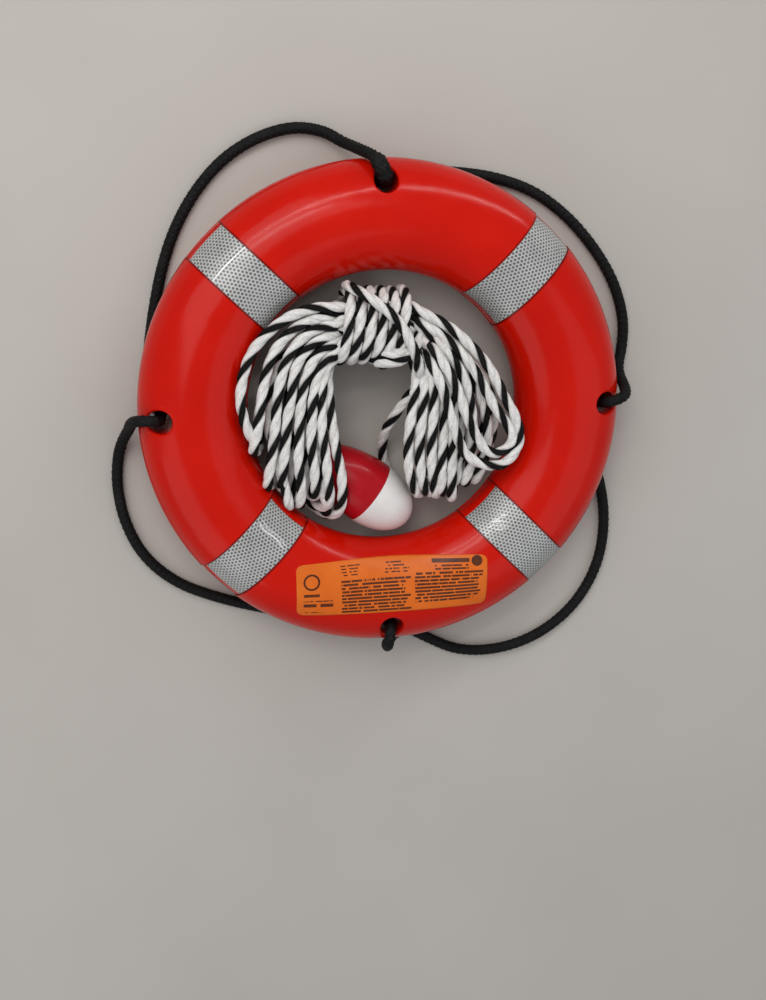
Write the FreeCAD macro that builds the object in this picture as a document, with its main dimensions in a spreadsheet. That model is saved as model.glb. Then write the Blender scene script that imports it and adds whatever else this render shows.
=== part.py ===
# Life ring buoy with grab line, coiled throw line and hand float.
# Frame: the ring lies on its back, +Z is the ring axis, +Y is the side that
# hangs uppermost, the origin is the ring centre on the resting plane.
import FreeCAD, Part
import math
import os

os.makedirs("parts", exist_ok=True)
V = FreeCAD.Vector
doc = FreeCAD.newDocument("life_ring")

# ---------------------------------------------------------------- sizes
sheet = doc.addObject("Spreadsheet::Sheet", "Sizes")
SIZES = [
    ("ring_outer_radius", 254.0), ("ring_inner_radius", 142.0),
    ("section_centre_radius", 198.0), ("section_half_width", 56.0),
    ("section_half_height", 47.0), ("section_centre_height", 45.0),
    ("wall", 3.0), ("core_gap", 0.3),
    ("rope_hole_radius", 12.0), ("rope_hole_circle", 231.0),
    ("rope_tube_radius", 15.0), ("hole_round", 2.0),
    ("bead_radius", 1.1), ("bead_height", 45.0),
    ("band_half_width", 23.3), ("band_depth", 1.2), ("band_under", 1.15),
    ("band_top", 0.5), ("band_margin", 1.4),
    ("recess_start_deg", -8.0), ("recess_end_deg", 188.0),
    ("band_ur_start", 21.0), ("band_ur_end", 164.0),
    ("band_ul_start", 20.5), ("band_ul_end", 149.0),
    ("band_ll_start", 29.5), ("band_ll_end", 150.0),
    ("band_lr_start", 15.0), ("band_lr_end", 158.0),
    ("label_width", 203.0), ("label_height", 57.0), ("label_centre", -182.5),
    ("label_thickness", 0.35), ("label_corner", 7.0),
    ("fill_plug_radius", 8.0), ("vent_plug_radius", 4.0),
    ("plug_thickness", 2.7), ("plug_gap", 0.15),
    ("grab_line_radius", 5.5), ("splice_radius", 7.6), ("splice_bore_radius", 5.8),
    ("throw_line_radius", 5.5),
    ("float_white_length", 52.0), ("float_red_length", 76.0),
    ("float_half_width", 35.0), ("float_wall", 3.5), ("float_height", 36.5),
    ("float_seam_x", -14.8), ("float_seam_y", -93.4),
    ("float_bore_radius", 7.6), ("liner_radius", 7.4), ("liner_bore_radius", 6.0),
    ("knot_radius", 8.8), ("pocket_radius", 12.0), ("pocket_depth", 26.0),
    ("cap_radius", 11.8), ("cap_thickness", 3.0),
    ("binding_half_height", 43.0), ("binding_half_width", 38.0),
    ("binding_left", -44.0), ("binding_right", 27.0),
    ("binding_centre_y", 87.0), ("binding_centre_height", 44.5),
]
for row, (name, value) in enumerate(SIZES, start=1):
    sheet.set("A%d" % row, name)
    sheet.set("B%d" % row, repr(value))
    sheet.setAlias("B%d" % row, name)
doc.recompute()


def size(name):
    return float(sheet.get(name))


rc = size("section_centre_radius")
zc = size("section_centre_height")
hw = size("section_half_width")
hh = size("section_half_height")


def bind(obj, prop, text):
    obj.setExpression(prop, text)


# ------------------------------------------------- revolved oval sections
# An oval section standing in the XZ plane, turned once round the Z axis.
STAND = FreeCAD.Rotation(V(1, 0, 0), 90)


def oval_ring(name, grow, half_width="Sizes.section_half_width",
              half_height="Sizes.section_half_height"):
    oval = doc.addObject("Part::Ellipse", name + "_section")
    bind(oval, "MajorRadius", "%s + (%s)" % (half_width, grow))
    bind(oval, "MinorRadius", "%s + (%s)" % (half_height, grow))
    oval.Placement = FreeCAD.Placement(V(rc, 0, zc), STAND)
    bind(oval, "Placement.Base.x", "Sizes.section_centre_radius")
    bind(oval, "Placement.Base.z", "Sizes.section_centre_height")
    turn = doc.addObject("Part::Revolution", name)
    turn.Source = oval
    turn.Axis = V(0, 0, 1)
    turn.Base = V(0, 0, 0)
    turn.Angle = 360
    turn.Solid = True
    return turn


def box(name, x0, y0, z0, x1, y1, z1):
    b = doc.addObject("Part::Box", name)
    b.Length, b.Width, b.Height = x1 - x0, y1 - y0, z1 - z0
    b.Placement = FreeCAD.Placement(V(x0, y0, z0), FreeCAD.Rotation())
    return b


def cut(name, base, tool):
    c = doc.addObject("Part::Cut", name)
    c.Base, c.Tool = base, tool
    return c


def common(name, base, tool):
    c = doc.addObject("Part::Common", name)
    c.Base, c.Tool = base, tool
    return c


def fuse(name, shapes):
    f = doc.addObject("Part::MultiFuse", name)
    f.Shapes = shapes
    return f


def cyl(name, radius, height, x, y, z, rot=None):
    c = doc.addObject("Part::Cylinder", name)
    if isinstance(radius, str):
        bind(c, "Radius", radius)
    else:
        c.Radius = radius
    c.Height = height
    c.Placement = FreeCAD.Placement(V(x, y, z), rot or FreeCAD.Rotation())
    return c


def polar(radius, deg, z=0.0):
    a = math.radians(deg)
    return V(radius * math.cos(a), radius * math.sin(a), z)


# ------------------------------------------------------------ outer shell
outer_full = oval_ring("shell_outside", "0")
outer = cut("shell_outside_flat", outer_full,
            box("floor_cut", -300, -300, -20, 300, 300, 0))
inner_full = oval_ring("shell_inside", "0 - Sizes.wall")
inner = cut("shell_inside_flat", inner_full,
            box("inside_floor_cut", -300, -300, -20, 300, 300, size("wall")))
hollow = cut("shell_hollow", outer, inner)
bead = doc.addObject("Part::Torus", "rim_bead")
bind(bead, "Radius1", "Sizes.ring_outer_radius - 0.5")
bind(bead, "Radius2", "Sizes.bead_radius")
bead.Placement = FreeCAD.Placement(V(0, 0, size("bead_height")), FreeCAD.Rotation())
posts, bores = [], []
hole_r = size("rope_hole_circle")
for k in range(4):
    p = polar(hole_r, 90 * k)
    posts.append(cyl("hole_wall_%d" % (k + 1), "Sizes.rope_tube_radius", 120, p.x, p.y, -10))
    bores.append(cyl("hole_bore_%d" % (k + 1), "Sizes.rope_hole_radius", 130, p.x, p.y, -20))
post_set = fuse("hole_walls", posts)
post_trim = common("hole_walls_trimmed", post_set, outer_full)
shell_body = fuse("shell_with_walls", [hollow, post_trim, bead])
bore_set = fuse("hole_bores", bores)
shell_holed = cut("shell_with_holes", shell_body, bore_set)
doc.recompute()

# soft rounding of every rope hole, front and back
edges = []
for i, e in enumerate(shell_holed.Shape.Edges, start=1):
    pts = e.discretize(24)
    for k in range(4):
        c = polar(hole_r, 90 * k)
        if all(abs(math.hypot(q.x - c.x, q.y - c.y) - size("rope_hole_radius")) < 0.05 for q in pts):
            if max(q.z for q in pts) - min(q.z for q in pts) < 40 and e.Length > 12:
                edges.append(i)
print("rope hole edges", edges)
rounded = doc.addObject("Part::Fillet", "shell_rounded")
rounded.Base = shell_holed
rounded.Edges = [(i, size("hole_round"), size("hole_round")) for i in sorted(set(edges))]
doc.recompute()
print("rounded volume", rounded.Shape.Volume, "before", shell_holed.Shape.Volume)


# -------------------------------------- recesses and the tapes in them
def sector(name, start, end, half, deg):
    """Prism standing across the ring at the angle deg: a fan of the section
    from start to end degrees, as wide as the tape."""
    pts = [V(rc, 0, zc)]
    n = 8
    for k in range(n + 1):
        a = math.radians(start + (end - start) * k / n)
        pts.append(V(rc + 75 * math.cos(a), 0, zc + 75 * math.sin(a)))
    pts.append(pts[0])
    fan = doc.addObject("Part::Polygon", name + "_fan")
    fan.Nodes = pts
    fan.Close = False
    ext = doc.addObject("Part::Extrusion", name)
    ext.Base = fan
    ext.DirMode = "Custom"
    ext.Dir = V(0, 1, 0)
    ext.LengthFwd = half
    ext.LengthRev = half
    ext.Solid = True
    fan.Placement = FreeCAD.Placement(V(0, 0, 0), FreeCAD.Rotation(V(0, 0, 1), 0))
    ext.Placement = FreeCAD.Placement(V(0, 0, 0), FreeCAD.Rotation(V(0, 0, 1), deg))
    return ext


BANDS = [("reflective_band_upper_right", 45.2, "ur"),
         ("reflective_band_upper_left", 135.6, "ul"),
         ("reflective_band_lower_left", 224.2, "ll"),
         ("reflective_band_lower_right", 314.2, "lr")]
recess_tools, band_objs = [], []
mg = size("band_margin")
for label, deg, key in BANDS:
    a0, a1 = size("band_%s_start" % key), size("band_%s_end" % key)
    # the recess runs on past both ends of the tape to the ring's silhouette
    rec = sector(label + "_recess_fan", size("recess_start_deg"), size("recess_end_deg"),
                 size("band_half_width") + mg, deg)
    lower = oval_ring(label + "_recess_floor", "0 - Sizes.band_depth")
    recess_tools.append(cut(label + "_recess", rec, lower))
    strip = sector(label + "_fan", a0, a1, size("band_half_width"), deg)
    top = oval_ring(label + "_top", "0 - Sizes.band_top")
    under = oval_ring(label + "_under", "0 - Sizes.band_under")
    blank = common(label + "_blank", strip, top)
    band_objs.append((label, cut(label + "_solid", blank, under)))
shell = cut("outer_shell_unplugged", rounded, fuse("tape_recesses", recess_tools))

# filling hole and vent in the flat back land
PLUGS = [("fill_plug", "fill_plug_radius", 62.0), ("vent_plug", "vent_plug_radius", 76.0)]
plug_bores = []
for label, key, deg in PLUGS:
    p = polar(rc, deg)
    plug_bores.append(cyl(label + "_bore", "Sizes." + key, 12, p.x, p.y, -4))
shell_done = cut("shell_finished", shell, fuse("plug_bores", plug_bores))

# ------------------------------------------------------------- foam core
core_full = oval_ring("core_outside", "0 - Sizes.wall - Sizes.core_gap")
core_flat = cut("core_flat", core_full,
                box("core_floor_cut", -300, -300, -20, 300, 300, size("wall") + size("core_gap")))
core_bores = []
for k in range(4):
    p = polar(hole_r, 90 * k)
    core_bores.append(cyl("core_bore_%d" % (k + 1), "Sizes.rope_tube_radius + Sizes.core_gap", 130, p.x, p.y, -20))
core_done = cut("core_solid", core_flat, fuse("core_bores", core_bores))

# --------------------------------------------------------- approval label
lw, lh, lc = size("label_width"), size("label_height"), size("label_centre")
label_top = oval_ring("label_top", "Sizes.label_thickness")
label_under = oval_ring("label_under", "0.02")
label_block = box("label_block", -lw / 2, lc - lh / 2, zc, lw / 2, lc + lh / 2, 110)
label_skin = cut("label_skin", common("label_blank", label_block, label_top), label_under)
doc.recompute()


# ------------------------------------------------------------- plugs
def plane_of(body, role):
    for f in body.Origin.OriginFeatures:
        if f.Role == role:
            return f
    raise ValueError(role)


def disc_body(name, radius_expr, thick_expr, placement):
    """Round plug: a circle sketched on the body's own XY plane and padded."""
    body = doc.addObject("PartDesign::Body", name)
    sk = body.newObject("Sketcher::SketchObject", name + "_circle")
    sk.AttachmentSupport = [(plane_of(body, "XY_Plane"), "")]
    sk.MapMode = "FlatFace"
    import Sketcher
    g = sk.addGeometry(Part.Circle(V(0, 0, 0), V(0, 0, 1), 5.0), False)
    sk.addConstraint(Sketcher.Constraint("Coincident", g, 3, -1, 1))
    c = sk.addConstraint(Sketcher.Constraint("Radius", g, 5.0))
    sk.setExpression("Constraints[%d]" % c, radius_expr)
    pad = body.newObject("PartDesign::Pad", name + "_pad")
    pad.Profile = sk
    pad.setExpression("Length", thick_expr)
    body.Tip = pad
    body.Placement = placement
    return body


plug_bodies = []
for label, key, deg in PLUGS:
    p = polar(rc, deg, 0.3)
    plug_bodies.append((label, disc_body(label, "Sizes.%s - Sizes.plug_gap" % key,
                                         "Sizes.plug_thickness",
                                         FreeCAD.Placement(p, FreeCAD.Rotation()))))


# ------------------------------------------------------------- rope tubes
def rope_wire(points, closed_name):
    """Straight runs joined by tangent arcs; returns the wire and the radii."""
    P = [V(*p) for p in points]
    n = len(P)
    edges, radii = [], []
    last = P[0]
    for i in range(1, n - 1):
        a, b, c = P[i - 1], P[i], P[i + 1]
        u = (a - b)
        w = (c - b)
        la, lb = u.Length, w.Length
        u.normalize()
        w.normalize()
        turn = math.pi - u.getAngle(w)
        half = turn / 2.0
        short = min(la, lb)
        back = 0.45 * short
        radius = back / math.tan(half)
        p0 = b + u * back
        p1 = b + w * back
        bis = (u + w)
        bis.normalize()
        centre = b + bis * (radius / math.cos(half))
        mid = centre - bis * radius
        if (p0 - last).Length > 1e-6:
            edges.append(Part.LineSegment(last, p0).toShape())
        edges.append(Part.Arc(p0, mid, p1).toShape())
        radii.append(radius)
        last = p1
    edges.append(Part.LineSegment(last, P[-1]).toShape())
    wire = Part.Wire(edges)
    print("%s: %d points, length %.1f mm, radii min %.1f  all %s" % (
        closed_name, n, wire.Length, min(radii), " ".join("%.0f" % r for r in radii)))
    return wire, edges, radii


def tube(wire, radius):
    e = wire.Edges[0]
    start = e.valueAt(e.FirstParameter)
    tangent = e.tangentAt(e.FirstParameter)
    ring = Part.Wire([Part.Circle(start, tangent, radius).toShape()])
    return wire.makePipeShell([ring], True, False, 2)


def cyl_pt(deg, r, z):
    a = math.radians(deg)
    return (r * math.cos(a), r * math.sin(a), z)


# Grab line: up through each hole, over the rim, down beside the ring and on
# to the next hole, where it passes below the rim.
RIM_TURN = {90: (1.0, 2.5, 4.2, 5.6, 266.0), 180: (-0.6, -0.5, 0.9, 3.0, 263.5),
            270: (-0.6, -0.9, -0.4, 1.0, 263.5), 360: (0.8, 1.8, 3.1, 4.5, 263.5)}


def over_rim(deg, lift):
    a, b, c, d, r = RIM_TURN[deg]
    return [cyl_pt(deg, 231.2, 56), cyl_pt(deg, 231.5, 76 + lift),
            cyl_pt(deg + a, 243.0, 83.2 + lift), cyl_pt(deg + b, 255.0, 78.0 + lift * 0.7),
            cyl_pt(deg + c, 260.6, 55), cyl_pt(deg + d, r, 34)]


def into_hole(deg):
    return [cyl_pt(deg - 15.5, 247.8, 6.2), cyl_pt(deg - 8.0, 245.6, 6.2),
            cyl_pt(deg - 2.4, 243.0, 6.2), cyl_pt(deg - 0.2, 235.0, 9),
            cyl_pt(deg, 228.5, 21), cyl_pt(deg, 231.0, 39)]


ARC_1 = [(97.2, 271.5, 15), (100.4, 285.5, 6.2), (106.2, 297.0, 6.2), (113.6, 300.2, 6.2),
         (121.6, 297.8, 6.2), (130.0, 288.8, 6.2), (138.6, 277.3, 6.2), (147.0, 265.0, 6.2),
         (155.6, 254.5, 6.2)]
ARC_2 = [(185.6, 271.5, 15), (189.6, 281.5, 6.2), (196.0, 292.0, 6.2), (203.8, 300.0, 6.2),
         (212.0, 302.5, 6.2), (220.6, 294.0, 6.2), (229.4, 277.0, 6.2), (238.0, 263.5, 6.2),
         (246.6, 254.0, 6.2)]
ARC_3 = [(273.4, 262.5, 15.5), (276.8, 262.5, 6.6), (280.6, 277.5, 6.2), (286.8, 305.5, 6.2), (294.8, 325.0, 6.2),
         (303.4, 335.8, 6.2), (312.4, 336.0, 6.2), (321.4, 324.0, 6.2), (330.0, 301.0, 6.2),
         (338.2, 273.0, 6.2)]
ARC_4 = [(366.4, 268.5, 15), (370.0, 278.5, 6.2), (376.4, 286.8, 6.2), (385.0, 289.0, 6.2),
         (394.0, 286.0, 6.2), (403.0, 282.5, 6.2), (412.0, 276.8, 6.2), (421.0, 265.5, 6.2),
         (429.0, 254.5, 6.2)]
grab_points = [cyl_pt(90, 231.25, 62)] + over_rim(90, 2.2)[1:]
for arcs, nxt in ((ARC_1, 180), (ARC_2, 270), (ARC_3, 360), (ARC_4, 450)):
    grab_points += [cyl_pt(*p) for p in arcs]
    grab_points += into_hole(nxt)
    if nxt < 450:
        grab_points += over_rim(nxt, 0.0)
grab_points += [cyl_pt(450, 231.1, 60.4)]
grab_wire, grab_edges, grab_radii = rope_wire(grab_points, "grab line")
grab_solid = tube(grab_wire, size("grab_line_radius"))
print("grab line volume %.0f against section x length %.0f" % (
    grab_solid.Volume, math.pi * size("grab_line_radius") ** 2 * grab_wire.Length))

# The splice: a thicker sleeve of tucked strands over the joined ends.
tail_run = []
acc = 0.0
for e in reversed(grab_edges):
    tail_run.insert(0, e)
    acc += e.Length
    if acc > 11:
        break
head_run = []
acc = 0.0
for e in grab_edges:
    head_run.append(e)
    acc += e.Length
    if acc > 40:
        break


def sample(edge_list, step):
    pts = []
    for e in edge_list:
        n = max(2, int(e.Length / step))
        for q in e.discretize(n + 1):
            if not pts or (q - pts[-1]).Length > 0.4:
                pts.append(q)
    return pts


join = [tail_run[-1].valueAt(tail_run[-1].LastParameter), head_run[0].valueAt(head_run[0].FirstParameter)]
bottom = join[0] + (join[0] - join[1]).normalize() * 9.0
spl_points = [cyl_pt(90, 231.1, 50.0)] + over_rim(90, 2.2)[1:4]
last = V(*spl_points[-1])
nextp = V(*over_rim(90, 2.2)[4])
spl_points.append(tuple(last + (nextp - last) * 0.52))
# same corner radii as the rope, so that the sleeve stays centred on it
P = [V(*p) for p in spl_points]


def rope_wire_fixed(points, backs):
    P = [V(*p) for p in points]
    edges = []
    last = P[0]
    for i in range(1, len(P) - 1):
        a, b, c = P[i - 1], P[i], P[i + 1]
        u = (a - b)
        w = (c - b)
        u.normalize()
        w.normalize()
        half = (math.pi - u.getAngle(w)) / 2.0
        back = backs[i - 1]
        radius = back / math.tan(half)
        bis = (u + w)
        bis.normalize()
        centre = b + bis * (radius / math.cos(half))
        edges.append(Part.LineSegment(last, b + u * back).toShape())
        edges.append(Part.Arc(b + u * back, centre - bis * radius, b + w * back).toShape())
        last = b + w * back
    edges.append(Part.LineSegment(last, P[-1]).toShape())
    return Part.Wire(edges)


def run(i):
    return (V(*grab_points[i + 1]) - V(*grab_points[i])).Length


backs = [0.45 * min(run(0), run(1)), 0.45 * min(run(1), run(2)), 0.45 * min(run(2), run(3))]
spl_wire = rope_wire_fixed(spl_points, backs)
spl_solid = tube(spl_wire, size("splice_radius")).cut(tube(spl_wire, size("splice_bore_radius")))

# Slack turn of the throw line hanging inside the hank.
tail_points = [(36, 27, 58), (21, 5, 52), (9, -16, 38), (2.5, -38, 21), (4, -60, 8.5),
               (11, -81, 5.6), (24, -98, 5.6), (41, -104, 7.5), (56, -94, 16)]
tail_wire, tail_edges, tail_radii = rope_wire(tail_points, "throw line slack turn")
tail_solid = tube(tail_wire, size("throw_line_radius"))
print("slack turn volume %.0f against %.0f" % (
    tail_solid.Volume, math.pi * size("throw_line_radius") ** 2 * tail_wire.Length))

# ------------------------------------------------------------------ float
u = V(0.7863, -0.6178, 0.0)
u.normalize()
seam = V(size("float_seam_x"), size("float_seam_y"), size("float_height"))
ALONG = FreeCAD.Rotation(V(0, 0, 1), u)


def half_egg(name, length_expr, a1, a2, grow):
    e = doc.addObject("Part::Ellipsoid", name)
    bind(e, "Radius1", length_expr + " + (%s)" % grow)
    bind(e, "Radius2", "Sizes.float_half_width + (%s)" % grow)
    bind(e, "Radius3", "Sizes.float_half_width + (%s)" % grow)
    e.Angle1, e.Angle2 = a1, a2
    e.Placement = FreeCAD.Placement(seam, ALONG)
    return e


def along_cyl(name, radius, start, length):
    c = doc.addObject("Part::Cylinder", name)
    bind(c, "Radius", radius)
    c.Height = length
    c.Placement = FreeCAD.Placement(seam + u * start, ALONG)
    return c


wl, rl = size("float_white_length"), size("float_red_length")
white_out = half_egg("white_outside", "Sizes.float_white_length", 0, 90, "0")
white_in = half_egg("white_inside", "Sizes.float_white_length", 0, 90, "0 - Sizes.float_wall")
red_out = half_egg("red_outside", "Sizes.float_red_length", -90, 0, "0")
red_in = half_egg("red_inside", "Sizes.float_red_length", -90, 0, "0 - Sizes.float_wall")
# boss round the knot pocket inside the white half
boss = common("white_boss", along_cyl("white_boss_blank", "Sizes.pocket_radius + 2.5", wl - size("pocket_depth") - 3.0, 40.0), white_out)
white_walled = fuse("white_walled", [cut("white_skin", white_out, white_in), boss])
white_pocket = cut("white_pocketed", white_walled, along_cyl("white_pocket", "Sizes.pocket_radius", wl - size("pocket_depth"), 40.0))
white_done = cut("white_bored", white_pocket, along_cyl("white_bore", "Sizes.float_bore_radius", -5.0, 60.0))
red_walled = cut("red_skin", red_out, red_in)
red_done = cut("red_bored", red_walled, along_cyl("red_bore", "Sizes.float_bore_radius", -rl - 5.0, rl + 10.0))
liner_start = -rl + 3.2
liner_len = (wl - size("pocket_depth")) - liner_start
liner_done = cut("liner_tube", along_cyl("liner_outside", "Sizes.liner_radius", liner_start, liner_len),
                 along_cyl("liner_bore", "Sizes.liner_bore_radius", liner_start - 5.0, liner_len + 10.0))
# cap trimmed to the egg's own surface
cap_done = common("cap_trimmed", along_cyl("cap_blank", "Sizes.cap_radius", wl - 7.0, 12.0), white_out)

knot_centre = seam + u * (wl - size("pocket_depth") + size("knot_radius") + 0.6)
knot = doc.addObject("Part::Sphere", "knot_ball")
bind(knot, "Radius", "Sizes.knot_radius")
knot.Placement = FreeCAD.Placement(knot_centre, FreeCAD.Rotation())
line_start = seam - u * (rl + 13.0)
line_end = knot_centre - u * (size("knot_radius") - 2.0)
float_line = doc.addObject("Part::Cylinder", "float_line_straight")
bind(float_line, "Radius", "Sizes.throw_line_radius")
float_line.Height = (line_end - line_start).Length
float_line.Placement = FreeCAD.Placement(line_start, ALONG)

# ------------------------------------------------------------------- hank
# Each limb is the outer shape of its bundle of rope: ovals across the bundle,
# joined smoothly, then kept clear of the ring's inner wall and of the float.
def limb(sections):
    wires = []
    for x, y, dx, dy, w, z, h in sections:
        d = V(dx, dy, 0)
        d.normalize()
        side = V(-d.y, d.x, 0)
        pts = []
        n = 16
        for k in range(n):
            a = 2 * math.pi * k / n
            ca, sa = math.cos(a), math.sin(a)
            # squarer than an ellipse: ropes stacked to a flat-topped bundle
            q = 0.78
            X = math.copysign(abs(ca) ** q, ca) * w
            Z = math.copysign(abs(sa) ** q, sa) * h
            pts.append(V(x, y, z) + side * X + V(0, 0, Z))
        b = Part.BSplineCurve()
        b.interpolate(pts, PeriodicFlag=True)
        wires.append(Part.Wire([b.toShape()]))
    return Part.makeLoft(wires, True, False)


zb = size("binding_centre_height")
LEFT = [(-44.0, 80, -1, 0, 26, 43, 36), (-70, 74, -0.93, -0.36, 27, 42.5, 40),
        (-91, 56, -0.62, -0.78, 33, 42.5, 41), (-104, 28, -0.25, -0.97, 41, 42.5, 41),
        (-106, -8, 0.04, -1, 47, 42.5, 41),
        (-92, -46, 0.2, -0.98, 42, 42.5, 41), (-84, -76, 0.2, -0.98, 42, 42, 40),
        (-77, -98, 0.25, -0.97, 34, 40, 36), (-73, -112, 0.25, -0.97, 18, 40, 22)]
RIGHT = [(27.0, 80, 1, 0, 26, 43, 36), (48, 70, 0.86, -0.5, 28, 42.5, 40),
         (63, 46, 0.45, -0.89, 36, 42.5, 41), (70, 22, 0.25, -0.97, 44, 42.5, 41),
         (77, -4, 0.1, -1, 53, 42.5, 41),
         (82, -34, -0.1, -1, 58, 42.5, 41), (68, -62, -0.3, -0.95, 44, 42, 40),
         (60, -84, -0.2, -0.98, 32, 40, 36), (57, -97, -0.2, -0.98, 16, 38, 22)]
wall_keep = oval_ring("ring_clearance", "3.2")
doc.recompute()
keep = Part.makeCylinder(138.0, 120.0, V(0, 0, 0))
float_keep = doc.addObject("Part::MultiFuse", "float_clearance")
float_keep.Shapes = [half_egg("white_clear", "Sizes.float_white_length", 0, 90, "3.0"),
                     half_egg("red_clear", "Sizes.float_red_length", -90, 0, "3.0")]
doc.recompute()


def hank_solid(sections):
    s = limb(sections)
    s = s.common(keep)
    s = s.cut(wall_keep.Shape)
    s = s.cut(float_keep.Shape)
    return max(s.Solids, key=lambda q: q.Volume)


left_solid = hank_solid(LEFT)
right_solid = hank_solid(RIGHT)
binding = doc.addObject("Part::Ellipse", "binding_section")
bind(binding, "MajorRadius", "Sizes.binding_half_height")
bind(binding, "MinorRadius", "Sizes.binding_half_width")
# major axis upright, section facing along X
binding.Placement = FreeCAD.Placement(
    V(size("binding_left"), size("binding_centre_y"), zb),
    FreeCAD.Rotation(V(0, 0, 1), V(0, 1, 0), V(1, 0, 0), "ZXY"))
wraps = doc.addObject("Part::Extrusion", "binding_solid")
wraps.Base = binding
wraps.DirMode = "Custom"
wraps.Dir = V(1, 0, 0)
wraps.LengthFwd = size("binding_right") - size("binding_left")
wraps.Solid = True
doc.recompute()


# ----------------------------------------------------------------- export
def finish(label, obj):
    obj.Label = label
    return obj


def feature(name, shape):
    f = doc.addObject("Part::Feature", name)
    f.Shape = shape
    return f


nodes = []
shell_done.Label = "outer_shell"
nodes.append(("outer_shell", shell_done))
core_done.Label = "foam_core"
nodes.append(("foam_core", core_done))
for label, obj in plug_bodies:
    obj.Label = label
    nodes.append((label, obj))
for label, obj in band_objs:
    obj.Label = label
    nodes.append((label, obj))

# the label's four corners rounded
corner = doc.addObject("Part::Fillet", "label_rounded")
corner.Base = label_block
corner.Edges = [(i, size("label_corner"), size("label_corner"))
                for i, e in enumerate(label_block.Shape.Edges, start=1)
                if abs(e.tangentAt(e.FirstParameter).z) > 0.99]
label_done = cut("label_solid", common("label_round_blank", corner, label_top), label_under)
label_done.Label = "approval_label"
nodes.append(("approval_label", label_done))

for label, shape in (("grab_line", grab_solid), ("grab_line_splice", spl_solid),
                     ("hank_left_limb", left_solid), ("hank_right_limb", right_solid),
                     ("throw_line_slack_turn", tail_solid)):
    f = feature(label + "_shape", shape)
    f.Label = label
    nodes.append((label, f))
for label, obj in (("hank_binding", wraps), ("float_line", float_line), ("stopper_knot", knot),
                   ("float_white_half", white_done), ("float_red_half", red_done),
                   ("float_liner", liner_done), ("float_end_cap", cap_done)):
    obj.Label = label
    nodes.append((label, obj))

# the pocket's mouth in the white half is closed by the cap: open it to the cap
doc.recompute()
bad = [o.Name for o in doc.Objects if "Invalid" in o.State or "Error" in o.State]
if bad:
    raise SystemExit("objects in error: %s" % bad)
for label, obj in nodes:
    sh = obj.Shape
    if sh.isNull() or not sh.isValid():
        raise SystemExit("bad shape: " + label)
    bb = sh.BoundBox
    print("%-28s solids %d  vol %9.1f  x %.1f..%.1f y %.1f..%.1f z %.2f..%.2f" % (
        label, len(sh.Solids), sh.Volume, bb.XMin, bb.XMax, bb.YMin, bb.YMax, bb.ZMin, bb.ZMax))
    sh.exportStep("parts/%s.step" % label)
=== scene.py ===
import bpy
import math
import random
import numpy as np
from mathutils import Matrix, Vector


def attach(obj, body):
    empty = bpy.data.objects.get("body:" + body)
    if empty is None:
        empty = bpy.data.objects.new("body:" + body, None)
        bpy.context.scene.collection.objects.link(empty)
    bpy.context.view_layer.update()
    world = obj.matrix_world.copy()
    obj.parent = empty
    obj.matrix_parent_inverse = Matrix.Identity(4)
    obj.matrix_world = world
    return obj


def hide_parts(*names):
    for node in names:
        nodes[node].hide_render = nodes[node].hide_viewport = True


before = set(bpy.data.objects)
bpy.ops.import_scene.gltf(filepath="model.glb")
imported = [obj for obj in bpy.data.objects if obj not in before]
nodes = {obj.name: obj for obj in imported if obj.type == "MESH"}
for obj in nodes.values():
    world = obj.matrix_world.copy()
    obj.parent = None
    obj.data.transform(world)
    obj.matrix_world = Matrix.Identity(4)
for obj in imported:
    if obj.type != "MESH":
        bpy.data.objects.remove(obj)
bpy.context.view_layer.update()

scene = bpy.context.scene
coll = scene.collection


def mm(*p):
    return tuple(v * 0.001 for v in p)


# ---------------------------------------------------------------- camera
cam_data = bpy.data.cameras.new("camera")
cam = bpy.data.objects.new("camera", cam_data)
coll.objects.link(cam)
cam.matrix_world = Matrix((
    (0.985648, 0.053839, -0.160001, -0.22381),
    (-0.013450, 0.969812, 0.243481, 0.23738),
    (0.168280, -0.237835, 0.956617, 1.37311),
    (0, 0, 0, 1)))
cam_data.sensor_fit = "AUTO"
cam_data.sensor_width = 36.0
cam_data.lens = 46.8
cam_data.clip_start = 0.01
cam_data.clip_end = 50.0
cam_data.dof.use_dof = False
scene.camera = cam


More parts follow.
